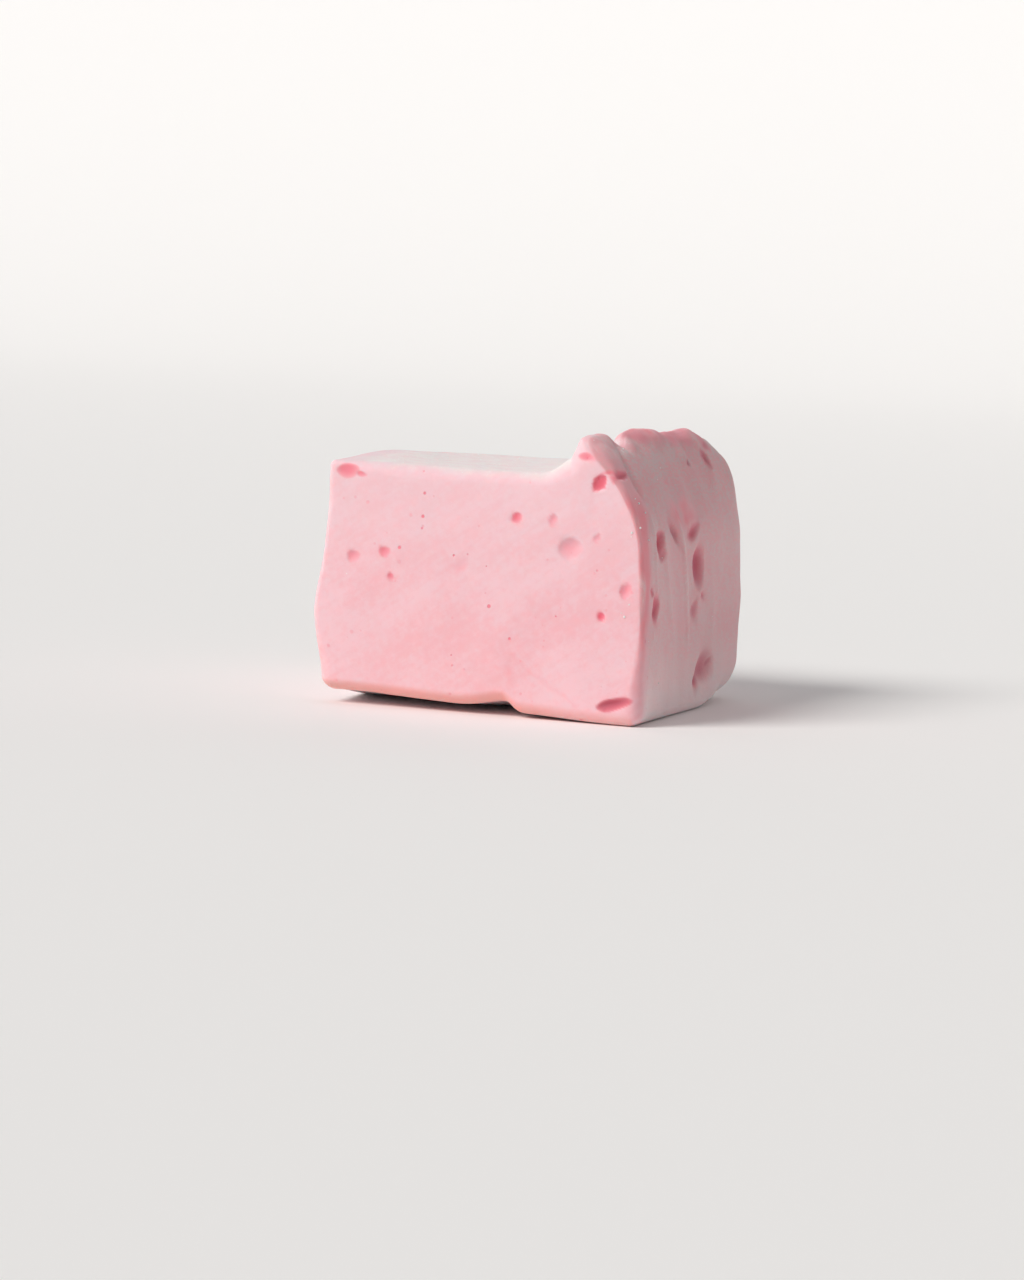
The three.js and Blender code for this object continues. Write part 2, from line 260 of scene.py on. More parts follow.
# the rounded box with its faces swollen, top and lip raised, skin side leaning in by
# ((z - shoulder) / rise) ^ power, and front rim curled
def cubeSurface(place):
    start = onRoundedBox(place)
    x, y, z = start.T
    tall = block["height"]
    across = x / (block["width"] / 2.0)
    deep = (y - block["backSet"]) / (block["depth"] / 2.0)
    level = z / (tall / 2.0) - 1.0
    belly = (1.0 - across ** 2) * (1.0 - level ** 2) * np.abs(deep)
    newX = x + sideSwell(across, y, z)
    newY = y + belly * mix(-swell["front"], swell["back"], ease(-1.0, 1.0, deep))
    newZ = z + roofRise(x, y) * ease(roof["from"] * tall, tall, z)
    newZ = newZ + lipRise(x, y) * ease(lip["from"] * tall, tall, z)
    behind = ease(*lean["depth"], y)
    built = np.clip((newZ - lean["shoulder"]) / lean["rise"], 0.0, lean["most"])
    built = built ** mix(lean["frontPower"], lean["backPower"], behind)
    newX = newX - mix(lean["front"], lean["back"], behind) * built * ease(*lean["width"], x)
    newZ = newZ + rimLift(x, y) * ease(curl["height"], 0.0, newZ)
    return np.stack([newX, newY, newZ], axis=1)


usualBubble = {"turn": 0, "wall": 60, "soft": 0, "tilt": 0, "leaf": 0, "pink": 0, "dark": 0}


# a bubble at a place on a face. wall: angle between the mouth's plane and the wall at the rim, over
# 90 where it widens inside; soft: how far the rim melts into the face; tilt: how much deeper it is
# towards its upper left; leaf: how pointed its ends are; pink: share of the hollow colour, the bare
# foam's own pink made redder as painted light scattered in the pit; the dark share: painted shade in
# the pit; fade: how far these follow the depth, which puts most colour on the upper left walls, where
# shade falls
def hole(across, up, width, height, depth, **own):
    return {"at": (across, up), "size": (width, height), "depth": depth, **usualBubble, **own}


bubbles = {}
bubbles["front"] = [
    hole(-15.5, 25.2, 2.6, 1.7, 0.17, turn=-4, tilt=0.9, pink=0.8, fade=0.8),
    hole(-14.0, 24.9, 1.2, 0.6, 0.15, turn=-8, wall=66, tilt=0.4, pink=0.65),
    hole(-14.5, 16.0, 1.8, 1.5, 0.15, turn=20, wall=45, tilt=1.6, pink=0.48, fade=1),
    hole(-11.0, 16.8, 1.5, 1.4, 0.18, wall=66, tilt=0.8, pink=0.68, fade=0.7),
    hole(-10.2, 14.2, 0.8, 0.8, 0.17, wall=75, pink=0.75),
    hole(3.9, 21.3, 1.25, 1.2, 0.18, turn=30, wall=70, tilt=0.9, pink=0.85, fade=0.7),
    hole(8.0, 21.2, 1.1, 1.5, 0.13, turn=-30, wall=48, tilt=1.4, pink=0.5, fade=1),
    hole(10.3, 18.1, 3.1, 2.9, 0.27, wall=40, tilt=2.2, pink=0.34, fade=1.3),
    hole(12.9, 19.7, 0.7, 1.4, 0.14, turn=-35, wall=45, tilt=0.8, leaf=0.6, pink=0.4, fade=1),
    hole(-2.3, 15.6, 3.0, 1.8, 0.1, turn=30, soft=1, pink=0.22),
    hole(12.9, 25.45, 1.45, 2.25, 0.31, turn=-34, wall=80, leaf=1.6, pink=1.0, dark=0.4),
    hole(13.9, 26.5, 1.5, 0.4, 0.17, turn=24, leaf=1, pink=0.7),
    hole(13.7, 11.5, 0.95, 0.95, 0.24, wall=82, pink=1.0),
    hole(16.3, 14.2, 1.3, 1.9, 0.2, turn=-18, wall=50, tilt=1.3, leaf=0.4, pink=0.55, fade=0.8),
    hole(15.35, 2.3, 4.3, 1.4, 0.42, turn=14, soft=0.6, tilt=0.6, leaf=1.0, pink=1.0, dark=1.0,
         fade=0.6),
    hole(11.3, 28.1, 2.2, 1.0, 0.19, turn=-10, wall=62, soft=0.3, leaf=0.6, pink=0.75),
]

bubbles["skin"] = [
    hole(-15.1, 26.3, 4.6, 1.1, 0.45, turn=4, soft=0.5, leaf=0.4, pink=0.95, dark=0.35),
    hole(-10.8, 19.0, 3.1, 3.4, 0.7, turn=6, soft=0.8, tilt=-0.4, leaf=0.5, pink=0.9, dark=0.9),
    hole(-5.6, 19.8, 1.2, 3.2, 0.45, turn=35, soft=0.8, leaf=1, dark=0.5),
    hole(-0.6, 19.7, 4.4, 1.8, 0.4, turn=22, soft=0.9, tilt=-0.8, pink=0.7, dark=0.6),
    hole(1.0, 16.4, 4.6, 6.0, 0.75, turn=-6, soft=0.9, tilt=-0.3, leaf=0.5, pink=0.5, dark=1.0),
    hole(-12.8, 12.1, 2.7, 3.8, 0.6, turn=-12, soft=0.9, tilt=-0.3, leaf=0.8, pink=0.9, dark=0.8),
    hole(-13.9, 14.2, 1.4, 1.2, 0.25, soft=0.7, pink=0.7, dark=0.3),
    hole(-0.2, 11.1, 2.4, 3.0, 0.25, soft=1, pink=0.2, dark=0.55),
    hole(2.2, 12.7, 1.6, 1.2, 0.35, turn=20, soft=0.6, pink=0.5, dark=0.3),
    hole(3.7, 4.5, 7.6, 4.8, 0.75, turn=14, soft=1, pink=0.3, dark=0.75),
    hole(1.9, 3.4, 3.2, 2.6, 0.35, turn=30, soft=1, pink=0.5, dark=0.95),
    hole(5.9, 5.0, 2.6, 1.6, 0.1, turn=50, soft=1, pink=0.2, dark=0.8),
    hole(9.2, 27.3, 1.7, 3.6, 0.4, turn=24, soft=0.8, leaf=0.6, pink=0.3, dark=0.8),
    hole(11.0, 28.7, 3.2, 2.0, 0.22, turn=10, soft=1, pink=0.45, dark=0.45),
    hole(4.3, 26.9, 0.8, 0.55, 0.35, wall=80, pink=0.4, dark=0.7),
    hole(-3.4, 25.2, 0.7, 0.4, 0.25, wall=80, pink=0.6),
    hole(8.1, 24.5, 0.7, 0.4, 0.2, wall=70, pink=0.2, dark=0.4),
]

bubbles["left"] = [
    hole(-6.0, 15.5, 1.6, 1.5, 0.9, turn=10, wall=95, tilt=0.4, pink=0.8),
    hole(7.5, 8.5, 2.2, 1.6, 0.6, turn=-20, wall=65, tilt=0.8, pink=0.5),
    hole(10.5, 20.5, 1.1, 1.1, 0.9, wall=100, pink=0.9),
    hole(-13.0, 21.5, 1.4, 1.0, 0.4, turn=30, wall=70, tilt=0.8, pink=0.6),
    hole(-11.5, 7.0, 1.0, 1.0, 0.5, wall=90, pink=0.9),
    hole(0.5, 22.8, 1.9, 1.3, 0.3, turn=-15, wall=50, tilt=1.2, pink=0.45, fade=1),
    hole(2.0, 13.5, 3.2, 2.2, 0.2, turn=25, soft=1, pink=0.25),
    hole(13.5, 14.0, 0.9, 0.8, 0.35, wall=75, pink=0.7),
    hole(-3.0, 4.2, 3.0, 0.9, 0.5, turn=-8, wall=72, tilt=0.5, leaf=1.2, pink=0.9, dark=0.5),
]

bubbles["back"] = [
    hole(-9.0, 17.5, 2.0, 1.8, 0.9, turn=15, wall=85, tilt=0.6, pink=0.7),
    hole(3.5, 9.0, 1.3, 1.3, 0.9, wall=98, pink=0.9),
    hole(9.5, 19.0, 2.6, 1.6, 0.7, turn=-25, wall=70, tilt=0.6, pink=0.5),
    hole(-2.5, 21.5, 1.2, 1.0, 0.35, turn=20, wall=70, tilt=0.8, pink=0.65),
    hole(1.0, 16.0, 3.4, 2.6, 0.3, turn=-20, wall=38, tilt=1.8, pink=0.3, fade=1.2),
    hole(11.5, 8.0, 1.6, 1.4, 0.4, tilt=1.0, pink=0.5, fade=1),
    hole(-12.0, 8.5, 0.9, 0.9, 0.4, wall=80, pink=0.85),
    hole(-6.0, 5.0, 2.4, 0.8, 0.4, turn=12, wall=70, leaf=1.2, pink=0.8, dark=0.4),
    hole(5.0, 22.5, 0.7, 0.7, 0.3, wall=75, pink=0.7),
]

bubbles["top"] = [            # here the places are (across, back)
    hole(-9.5, 6.5, 1.2, 1.0, 0.3, turn=20, wall=55, tilt=0.8, pink=0.4),
    hole(2.5, 11.0, 0.8, 0.7, 0.3, wall=75, pink=0.6),
    hole(-3.0, -6.0, 2.4, 1.8, 0.22, turn=-25, soft=1, pink=0.25),
    hole(6.0, 0.5, 0.9, 0.8, 0.28, turn=40, wall=60, pink=0.4),
    hole(-13.5, 13.0, 0.8, 0.8, 0.3, wall=75, pink=0.6),
]

sides = {                     # directions of "right", "up" and "out" on each face
    "front": ((1, 0, 0), (0, 0, 1), (0, -1, 0)),
    "skin": ((0, 1, 0), (0, 0, 1), (1, 0, 0)),
    "left": ((0, -1, 0), (0, 0, 1), (-1, 0, 0)),
    "back": ((-1, 0, 0), (0, 0, 1), (0, 1, 0)),
    "top": ((1, 0, 0), (0, 1, 0), (0, 0, 1)),
}

mouth = {
    "facing": 0.2,            # a bubble opens where the surface faces out at least so far
    "pull": 0.6,              # share by which the grid is drawn in towards a bubble
    "pullReach": 1.9,         # its reach, in mouth radii
    "pullLeast": 0.3,         # the closest that counts, in mouth radii
    "crowd": 0.55,            # share by which the grid crowds at the rim
    "crowdReach": 0.45,       # and over what reach
    "holdPower": 8,           # how sharply the grid is held at the borders of a face
    "nearTurn": 0.1,          # a point belongs to a bubble's face if it faces out so far
    "nearRise": 2.5,          # and lies no further off, in millimetres
    "bevel": 0.3,             # width of the softened rim, in mouth radii
    "bevelSink": 0.05,        # and its depth, in bubble depths
    "waver": 0.12,            # unevenness of the outline
    "softWaver": 0.3,         # and where the rim is soft
    "waverLength": 0.4,       # its wavelength, in mouth widths plus heights
    "slant": (0.15, 1.8),     # least and most of a tilted bubble's depth
    "flatten": (1.0, 0.6),    # from the rim to here the face's own swell goes
    "softFlatten": 0.7,       # and how far it stays where the rim is soft
    "blur": 0.2,              # half the width over which its colour sets in, in millimetres
    "fade": 0.45,             # how far the colour follows the depth and not the outline
    "fadeMost": 1.3, "fadePower": 0.6,
}


# all bubbles in one list, each with its face
def everyBubble():
    return [{"side": side, **bubble} for side, group in bubbles.items() for bubble in group]


# right, up and out of a bubble's face as arrays
def faceDirections(bubble):
    return (np.array(direction, float) for direction in sides[bubble["side"]])


# number of the grid point where a bubble opens: the nearest on its face to (across, up)
def mouthPoint(bubble, points, normals):
    right, up, out = faceDirections(bubble)
    off = np.hypot(points @ right - bubble["at"][0], points @ up - bubble["at"][1])
    return int(np.argmin(np.where(normals @ out < mouth["facing"], np.inf, off)))


# offsets turned by the bubble's angle and divided by its mouth radii, so the rim is at 1; a leaf
# shape narrows towards both ends of its longer axis
def mouthReach(bubble, across, along):
    turn = math.radians(bubble["turn"])
    p = (across * math.cos(turn) + along * math.sin(turn)) / (bubble["size"][0] / 2.0)
    q = (along * math.cos(turn) - across * math.sin(turn)) / (bubble["size"][1] / 2.0)
    lying = bubble["size"][0] > bubble["size"][1]
    leaf = 1.0 + bubble["leaf"] * np.minimum((p if lying else q) ** 2, 1.0)
    wide, tall = (1.0, leaf) if lying else (leaf, 1.0)
    return np.sqrt(p * p * wide + q * q * tall)


# draws the grid in towards each bubble, r' = r (1 - pull exp(-(r / w)^2)), then crowds it at the rim,
# r" = r' - crowd (r' - 1) exp(-((r' - 1) / v)^2), so that rim and wall have enough points; the
# borders of a face stay where they are
def gatherAtBubbles(place, points, normals):
    for bubble in everyBubble():
        right, up, out = faceDirections(bubble)
        axis = int(np.argmax(np.abs(out)))
        centre = place[mouthPoint(bubble, points, normals)]
        onFace = place[:, axis] == out[axis]
        offset = (place - centre) * halfBlock
        offset[:, axis] = 0.0
        reach = mouthReach(bubble, offset @ right, offset @ up)
        others = [k for k in range(3) if k != axis]
        hold = np.prod(1.0 - place[:, others] ** mouth["holdPower"], axis=1) * onFace
        drawn = 1.0 - mouth["pull"] * bell(0.0, mouth["pullReach"], reach)
        newReach = np.maximum(reach * drawn, mouth["pullLeast"])
        crowd = mouth["crowd"] * bell(1.0, mouth["crowdReach"], newReach)
        crowded = 1.0 - crowd * (1.0 - 1.0 / newReach)
        place = place + (hold * (drawn * crowded - 1.0))[:, None] * offset / halfBlock
    return place


# A bubble is part of an egg under the mouth. With f = wall * reach the angle from its bottom, a
# point lies at sin f / sin wall mouth radii from the axis and (cos f - cos wall) / (1 - cos wall)
# depths below the mouth. A soft one sinks by (1 - reach^2)^2 instead, a tilted one is deeper
# towards its upper left, and a narrow bevel rounds the rim.
def openBubbles(points, normals):
    hollow, dark = np.zeros(len(points)), np.zeros(len(points))
    for number, bubble in enumerate(everyBubble()):
        right, up, _ = faceDirections(bubble)
        start = mouthPoint(bubble, points, normals)
        normal = normals[start]
        across = unit(right - normal * (right @ normal))
        along = np.cross(normal, across)
        along = along * np.sign(along @ up)
        middle = points[start]
        middle = middle + across * (bubble["at"][0] - middle @ right)
        middle = middle + along * (bubble["at"][1] - middle @ up)
        offset = points - middle
        p, q, rise = offset @ across, offset @ along, offset @ normal
        soft, depth, girth = bubble["soft"], bubble["depth"], sum(bubble["size"])
        wobble = ripple(points, girth * mouth["waverLength"], seed=60 + number)
        waver = mix(mouth["waver"], mouth["softWaver"], soft)
        reach = mouthReach(bubble, p, q) * (1.0 + waver * wobble)
        near = (normals @ normal > mouth["nearTurn"]) & (np.abs(rise) < mouth["nearRise"])
        inside = near & (reach < 1.0)

        wall = math.radians(bubble["wall"])
        angle, safeReach = wall * reach, np.maximum(reach, 1e-6)
        spread = np.where(reach > 1e-6, np.sin(angle) / (math.sin(wall) * safeReach), 1.0)
        spread = mix(spread, 1.0, soft)
        sink = (np.cos(angle) - math.cos(wall)) / (1.0 - math.cos(wall))
        sink = mix(sink, np.clip(1.0 - reach ** 2, 0.0, 1.0) ** 2, soft)
        slant = (q / bubble["size"][1] - p / bubble["size"][0]) * bubble["tilt"]
        sink = sink * np.clip(1.0 + slant, *mouth["slant"])
        bevel = np.clip((1.0 + mouth["bevel"] - reach) / mouth["bevel"], 0.0, 1.0) ** 2
        bevel = bevel * mouth["bevelSink"] * depth * near * (1.0 - soft)
        flatten = ease(*mouth["flatten"], reach) * (1.0 - mouth["softFlatten"] * soft)
        carved = (middle + across * (p * spread)[:, None] + along * (q * spread)[:, None]
                  + normal * (rise * (1.0 - flatten) - sink * depth)[:, None])
        points = np.where(inside[:, None], carved, points) - normal * bevel[:, None]

        # painted light in the pits: the pink, partly the bare foam's own, is made redder as painted
        # scattered light and follows the depth, so it is strongest on the upper left walls, where shade
        # falls; the dark share is painted shade
        fade = bubble.get("fade", mix(mouth["fade"], 1.0, soft))
        edge = mouth["blur"] / (girth / 4.0)
        faded = np.clip(sink, 0.0, mouth["fadeMost"]) ** mix(mouth["fadePower"], 1.0, soft)
        share = near * ease(1.0 + edge, 1.0 - edge, reach) * mix(1.0, faded, fade)
        hollow = np.maximum(hollow, share * bubble["pink"])
        dark = np.maximum(dark, share * bubble["dark"])
    return points, hollow, dark


# lines on the skin side: from y, z to y, z, bow sideways, height (a groove where negative), width
skinLines = [
    (-12.9, 23.5, -12.6, 15.0, 0.5, 0.12, 0.4),
    (-12.2, 15.5, -14.0, 8.0, 0.3, 0.12, 0.4),
    (-9.4, 23.0, -6.2, 8.0, -1.0, 0.12, 0.5),
    (-4.6, 22.0, -1.9, 7.5, 0.3, 0.28, 0.45),
    (-6.9, 21.8, -4.6, 18.0, -0.3, -0.28, 0.6),
    (-1.0, 31.4, -0.2, 29.2, 0.0, 0.3, 0.8),
    (4.6, 17.0, 5.6, 7.0, 0.4, 0.08, 0.6),
    (-9.3, 30.5, -12.3, 23.5, -1.1, -0.45, 0.9),
    (4.2, 31.0, 5.8, 26.5, 0.3, -0.25, 0.9),
    (7.6, 30.0, 9.4, 25.0, 0.2, 0.16, 0.5),
]

# wavelength, seed and size in millimetres of the unevenness of the surface, and of the borders of
# its finishes and of the fold
unevenness = {
    "broad": (8.0, 3, 0.05), "fine": (2.6, 4, 0.012),
    "skin": (4.2, 5, 0.07), "wrinkle": (1.5, 6, 0.016),
    "crown": (3.8, 7, 0.13), "crownFine": (1.6, 8, 0.035),
    "flapSide": (3.0, 31, 0.3), "flapSlant": (4.0, 32, 0.3),
    "bandEdge": (3.5, 21, 0.5), "crownEdge": (2.4, 22, 0.7), "blushEdge": (2.2, 27, 0.35),
    "powderFront": (7.0, 24, 0.5), "powderFrontFine": (1.8, 25, 0.25),
    "powderLip": (5.0, 23, 1.1), "powderLipFine": (1.8, 28, 0.6),
    "powderLeft": (5.0, 26, 1.2),
}

relief = {
    "wrinkleDraw": 0.18,      # wrinkles are drawn out downwards by one over this
    "skinTurn": (0.15, 0.6), "frontTurn": (0.5, 0.9),
    "crownHeight": (26.6, 29.0), "crownWidth": (7.0, 10.0),
    "groundHeight": (0.2, 1.2),
    "lineStart": (-0.1, 0.2), "lineEnd": (1.1, 0.75), "linePast": 0.2,  # in lengths of a skin line
}

flap = {                      # a shallow fold low on the front, with an upright and a slanting side
    "corner": (3.7, 6.8), "slope": 0.66,
    "slantShare": 0.83,       # 1 / sqrt(1 + slope^2): a distance across the slant, not straight up
    "step": 0.09, "stepInside": (-0.2, 0.3), "stepReach": 2.2,
    # pink: painted shade along the crease, in the bare foam's colour
    "crease": 0.05, "creaseReach": 0.18, "pink": 0.16, "pinkReach": 0.27,
    "fadeWidth": (14.5, 8.0), "fadeBeside": (-0.8, 0.2),
    "upright": 0.6, "slantBeside": (0.5, 2.0),          # less of it along the upright
}


def uneven(points, *names):
    total = np.zeros(len(points))
    for wavelength, seed, size in (unevenness[name] for name in names):
        total += size * ripple(points, wavelength, seed)
    return total


# ridges and grooves of the skin: a bell across each line, faded out at both ends
def skinRidges(y, z):
    total = np.zeros(len(y))
    for startY, startZ, endY, endZ, bow, height, width in skinLines:
        run = np.clip((startZ - z) / (startZ - endZ), -relief["linePast"], 1.0 + relief["linePast"])
        middle = mix(startY, endY, run) + bow * np.sin(math.pi * run)
        shown = ease(*relief["lineStart"], run) * ease(*relief["lineEnd"], run)
        total += height * bell(middle, width, y) * shown
    return total


# how far inside both sides of the fold a point lies, and how far right of the upright one
def flapPlace(points):
    beside = points[:, 0] - flap["corner"][0] + uneven(points, "flapSide")
    below = flap["corner"][1] - points[:, 2] - flap["slope"] * beside + uneven(points, "flapSlant")
    return np.minimum(beside, below * flap["slantShare"]), beside


# share of the fold at a point: it fades out to the right
def flapShare(x, beside):
    return ease(*flap["fadeWidth"], x) * ease(*flap["fadeBeside"], beside)


# depth of the fold: a step down inside both sides, dying away inwards, and a crease along them
def flapSink(points):
    inside, beside = flapPlace(points)
    away = np.exp(-np.maximum(inside, 0.0) / flap["stepReach"])
    step = flap["step"] * ease(*flap["stepInside"], inside) * away
    crease = flap["crease"] * bell(0.0, flap["creaseReach"], inside)
    share = flapShare(points[:, 0], beside)
    return (step + crease) * share * mix(flap["upright"], 1.0, ease(*flap["slantBeside"], beside))


def addRelief(points, normals):
    x, y, z = points.T
    skin = ease(*relief["skinTurn"], normals[:, 0])
    front = ease(*relief["frontTurn"], -normals[:, 1])
    crown = ease(*relief["crownHeight"], z) * ease(*relief["crownWidth"], x)
    drawn = points * [1.0, 1.0, relief["wrinkleDraw"]]
    height = uneven(points, "broad", "fine")
    height += skin * (uneven(points, "skin") + (1.0 - crown) * uneven(drawn, "wrinkle"))
    height += crown * uneven(points, "crown", "crownFine")
    height += skin * skinRidges(y, z) - front * flapSink(points)
    return points + normals * (height * ease(*relief["groundHeight"], z))[:, None]


band = {                      # the clean pink foam on the skin side, along the front cut
    "narrow": 1.8, "usual": 3.3, "wide": 4.8,           # how wide it is from the base to the lip
    "usualHeight": (7.0, 18.0), "wideHeight": (19.0, 25.0),
    "soft": 1.3, "sideTurn": (0.15, 0.5),
    "onEdge": 0.35, "edgeDepth": (0.1, 1.1),
    "onLip": 0.55, "lipHeight": (22.0, 26.0),
    "onFoot": 0.2, "footHeight": (2.0, 14.0),
}

crownFoam = {                 # the crown of the lip
    "height": (28.2, 30.2), "width": (6.5, 9.5),
    "inside": 0.45, "insideTurn": (-0.3, 0.3),          # less of it on the inner side
    # dusk: painted shade on the crown, most on its outer side, away from the light
    "bare": 0.7, "bareFront": 0.4, "dusk": 0.35, "frontDepth": (-13.0, -8.0),
    "tip": (-0.6, 30.2), "tipReach": 1.5,               # y, z of the tip, which gets none of the painted shade
}

blushes = (                   # pink patches on the skin side: y, z, reach along both, share
    (-2.4, 21.8, 4.8, 2.1, 0.85), (-0.5, 30.0, 1.2, 1.2, 1.0),
    (-14.0, 28.5, 2.0, 2.0, 0.25), (1.0, 13.0, 3.0, 3.0, 0.15),
)

starch = {                    # the loose powder
    "top": 1.0, "topTurn": (0.1, 0.7), "topInset": (-0.4, 2.4), "topWidth": (-18.5, -11.0),
    "shelf": 15.0, "shelfFade": (0.0, 6.0),             # where it ends on the lip's inner wall
    "line": 0.35, "lineAt": (0.15, 0.25), "lineTurn": (-0.1, 0.3),  # beside the front cut
    "under": 0.6, "underTurn": (0.5, 0.9), "underInset": (2.5, 5.0),
    "ridge": 0.45, "ridgeFull": 0.3, "ridgeHeight": (28.0, 24.0),
    "clear": (0.1, 0.6),                                # share of a hollow's colour that clears it
}

glow = {                      # painted glow: warm bounce light painted into the foam under the lifted rim of the base
    "turn": (-0.15, 0.85), "inset": (4.0, 1.5), "side": (1.0, 0.5),
    "right": 0.6, "rightWidth": (12.0, 3.0),
}

skinCoat = {
    "clear": 0.9,             # share of it that bare foam takes away
    "footInset": (-0.3, 4.5),
    "dust": 0.5,              # how it counts beside the powder where grains are scattered
}


# shares of 0 to 1: skin is the side that set against the tray, powder the loose starch, bare the
# clean pink foam, dusk the painted shade on the crown, and the warm share the painted glow of bounce
# light under the rim of the base
def surfaceMasks(points, normals, frontPlane):
    x, y, z = points.T
    turnX, turnY, turnZ = normals.T
    inset = y - frontPlane
    behind = inset + uneven(points, "bandEdge")
    side = ease(*band["sideTurn"], turnX)
    aboveFoot = ease(*band["footHeight"], z)

    wide = mix(band["narrow"], band["usual"], ease(*band["usualHeight"], z))
    wide = mix(wide, band["wide"], ease(*band["wideHeight"], z))
    beside = side * ease(wide + band["soft"], wide - band["soft"], behind)
    beside = beside * mix(band["onEdge"], 1.0, ease(*band["edgeDepth"], behind))
    upright = mix(1.0, band["onLip"], ease(*band["lipHeight"], z)) * mix(band["onFoot"], 1.0, aboveFoot)

    crown = ease(*crownFoam["height"], z + uneven(points, "crownEdge"))
    crown = crown * ease(*crownFoam["width"], x)
    facing = mix(crownFoam["inside"], 1.0, ease(*crownFoam["insideTurn"], turnX))
    lobes = ease(*crownFoam["frontDepth"], y)
    onCrown = crownFoam["bare"] * crown * facing * mix(crownFoam["bareFront"], 1.0, lobes)
    tip = np.hypot(y - crownFoam["tip"][0], z - crownFoam["tip"][1])
    # painted shade over the crown, most on its outer side, away from the light, but not on the tip
    dusk = crownFoam["dusk"] * crown * lobes * facing * (1.0 - bell(0.0, crownFoam["tipReach"], tip))

    blush = sum(share * bell(0.0, 1.0, np.hypot((y - at) / reachY, (z - high) / reachZ))
                for at, high, reachY, reachZ, share in blushes)
    blush = blush * (1.0 + uneven(points, "blushEdge")) * side
    inside, fromUpright = flapPlace(points)
    # painted shade along the fold's crease, in the bare foam's pink
    fold = flap["pink"] * bell(0.0, flap["pinkReach"], inside) * flapShare(x, fromUpright)
    fold = fold * ease(*relief["frontTurn"], -turnY)
    bare = np.clip(np.max([beside * upright, onCrown, fold, blush], axis=0), 0.0, 1.0)

    onTop = inset + uneven(points, "powderFront", "powderFrontFine")
    fromLip = starch["shelf"] - x + uneven(points, "powderLip", "powderLipFine")
    top = ease(*starch["topTurn"], turnZ) * ease(*starch["topInset"], onTop)
    top = top * ease(*starch["shelfFade"], fromLip) * (1.0 - crown)
    top = starch["top"] * top * ease(*starch["topWidth"], x + uneven(points, "powderLeft"))
    line = starch["line"] * bell(*starch["lineAt"], behind) * ease(*starch["lineTurn"], turnX) * upright
    under = starch["under"] * ease(*starch["underTurn"], -turnZ) * ease(*starch["underInset"], behind)
    ridge = np.clip(skinRidges(y, z) / starch["ridgeFull"], 0.0, 1.0)
    ridge = starch["ridge"] * ridge * ease(*starch["ridgeHeight"], z) * side
    powder = np.max([top, line, under, ridge], axis=0)

    # painted glow: warm bounce light under the lifted rim of the base
    paintedGlow = ease(*glow["turn"], -turnZ) * ease(*glow["inset"], behind) * ease(*glow["side"], side)
    paintedGlow = paintedGlow * mix(glow["right"], 1.0, ease(*glow["rightWidth"], x))
    wrapped = mix(ease(*skinCoat["footInset"], behind), 1.0, aboveFoot)
    skin = side * (1.0 - skinCoat["clear"] * bare) * wrapped
    return {"skin": skin, "powder": powder, "bare": bare, "dusk": dusk, "paintedGlow": paintedGlow}


def buildMarshmallow():
    place, quads = latticeShell(block["cells"])
    place = place + block["gather"] * (place - place ** 3)
    points = cubeSurface(place)
    place = gatherAtBubbles(place, points, pointNormals(points, quads))
    points = cubeSurface(place)
    normals = pointNormals(points, quads)
    masks = surfaceMasks(points, normals, points[:, 1].min())
    points = addRelief(points, normals)
    points, hollow, dark = openBubbles(points, pointNormals(points, quads))
    centre = np.array([(points[:, k].min() + points[:, k].max()) / 2.0 for k in range(2)] + [0.0])
    print("marshmallow centred by", centre.round(3))
    points = points - centre
    masks["powder"] = masks["powder"] * (1.0 - ease(*starch["clear"], hollow))
    masks["hollow"] = hollow
    # painted shade of the pits and of the crown in one mask
    masks["dark"] = np.maximum(dark, masks.pop("dusk"))
    dusty = np.maximum(masks["powder"], skinCoat["dust"] * masks["skin"])
    return meshPiece("marshmallowBody", points, quads, masks), points, quads, dusty


def newMaterial(name):
    material = bpy.data.materials.new(name)
    material.use_nodes = True
    return material, material.node_tree, material.node_tree.nodes["Principled BSDF"]


# sets a node's inputs, or links them where a value is the output of another node
def setInputs(tree, node, inputs):
    for key, value in inputs.items():
        if isinstance(value, bpy.types.NodeSocket):
            tree.links.new(value, node.inputs[key])
        else:
            node.inputs[key].default_value = value


def addNode(tree, kind, inputs, **settings):
    node = tree.nodes.new(kind)
    for key, value in settings.items():
        setattr(node, key, value)
    setInputs(tree, node, inputs)
    return node


def mathNode(tree, operation, *values):
    return addNode(tree, "ShaderNodeMath", dict(enumerate(values)), operation=operation).outputs[0]


def rangeNode(tree, value, low, high, newLow=0.0, newHigh=1.0):
    inputs = {"Value": value, "From Min": low, "From Max": high, "To Min": newLow, "To Max": newHigh}
    node = addNode(tree, "ShaderNodeMapRange", inputs, interpolation_type="SMOOTHSTEP")
    return node.outputs["Result"]


def mixColour(tree, share, first, second):
    first, second = ((*end, 1.0) if isinstance(end, tuple) else end for end in (first, second))
    return addNode(tree, "ShaderNodeMix", {0: share, 6: first, 7: second}, data_type="RGBA").outputs[2]


def noiseNode(tree, vector, scale, detail, roughness):
    inputs = {"Vector": vector, "Scale": scale, "Detail": detail, "Roughness": roughness}
    return addNode(tree, "ShaderNodeTexNoise", inputs).outputs["Fac"]


def objectPlace(tree):
    return addNode(tree, "ShaderNodeTexCoord", {}).outputs["Object"]


